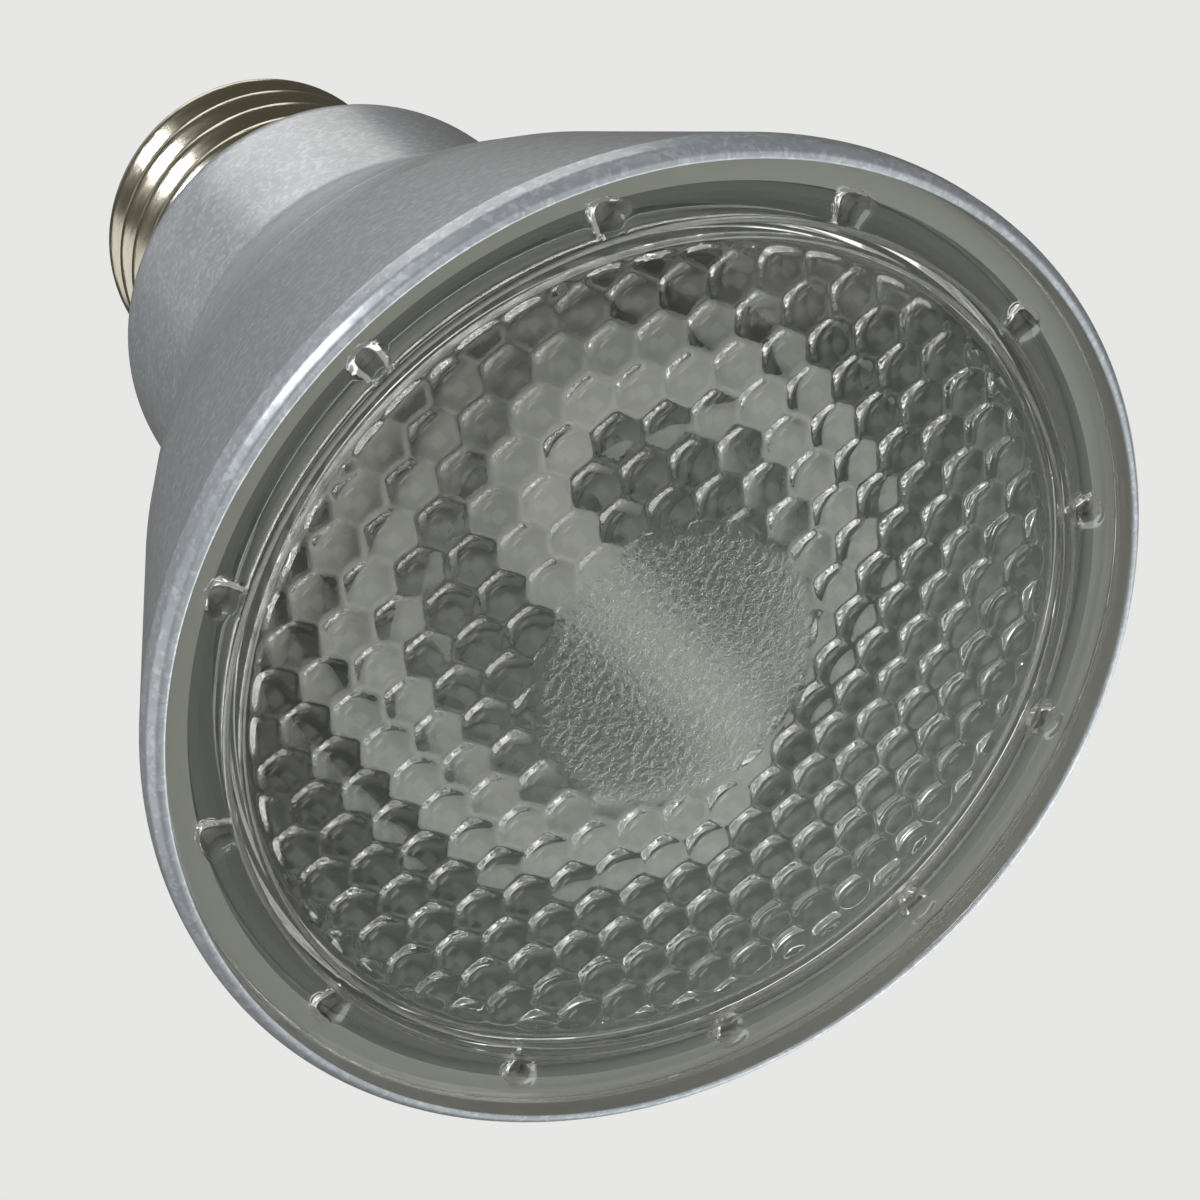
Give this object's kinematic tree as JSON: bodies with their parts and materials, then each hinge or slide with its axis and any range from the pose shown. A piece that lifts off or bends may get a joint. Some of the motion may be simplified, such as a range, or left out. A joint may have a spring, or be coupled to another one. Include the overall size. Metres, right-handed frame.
{
  "type": "par spotlight bulb",
  "caption": "Reflector spotlight bulb with a screw cap, silver flared body and clear honeycomb front lens over a spiral fluorescent tube.",
  "frame": {"origin": "centre of the front rim's plane, on the lamp's axis", "axes": "+Z along the lamp's axis from the front lens towards the screw cap; +X passes through one gusset tab of the lens"},
  "size_m": [0.0635, 0.0634, 0.0908],
  "materials": {
    "silver_shell": "fine metallic silver paint",
    "silver_neck": "fine metallic silver paint",
    "cap_metal": "bright nickel plate",
    "cap_glass": "black vitreous glass",
    "contact_metal": "tinned brass",
    "solder": "dull solder",
    "bright_bowl": "vacuum-metallised, bright",
    "clear_lens": "clear moulded, honeycomb face",
    "phosphor_tube": "opal white coating",
    "white_plate": "moulded white",
    "cement": "matte",
    "board": "phenolic laminate",
    "can_sleeve": "shrink sleeve",
    "ferrite": "sintered ferrite",
    "winding": "yellow tape over the winding",
    "ring_ferrite": "coated ferrite",
    "black_case": "moulded epoxy",
    "diode_case": "moulded epoxy",
    "film_case": "dipped",
    "disc_case": "dipped",
    "drum_ferrite": "ferrite drum",
    "fuse_body": "flameproof coating",
    "resistor_body": "carbon film coating",
    "post_metal": "tinned",
    "lead_metal": "tinned wire",
    "brown_wire": "insulated",
    "blue_wire": "insulated"
  },
  "bodies": {
    "root": {"reflector_housing": "silver_shell", "neck_housing": "silver_neck", "cap_shell": "cap_metal", "cap_insulator": "cap_glass", "center_contact": "contact_metal", "contact_solder": "solder", "reflector_bowl": "bright_bowl", "lens": "clear_lens", "spiral_tube": "phosphor_tube", "tube_base": "white_plate", "tube_cement": "cement", "circuit_board": "board", "bulk_capacitor": "can_sleeve", "choke_core": "ferrite", "choke_coil": "winding", "drive_toroid": "ring_ferrite", "switching_transistors": "black_case", "rectifier_diodes": "diode_case", "resonant_capacitor": "film_case", "start_capacitor": "disc_case", "filter_inductor": "drum_ferrite", "fuse_resistor": "fuse_body", "resistors": "resistor_body", "filament_posts": "post_metal", "filament_leads": "lead_metal", "live_wire": "brown_wire", "neutral_wire": "blue_wire"}
  },
  "joints": []
}
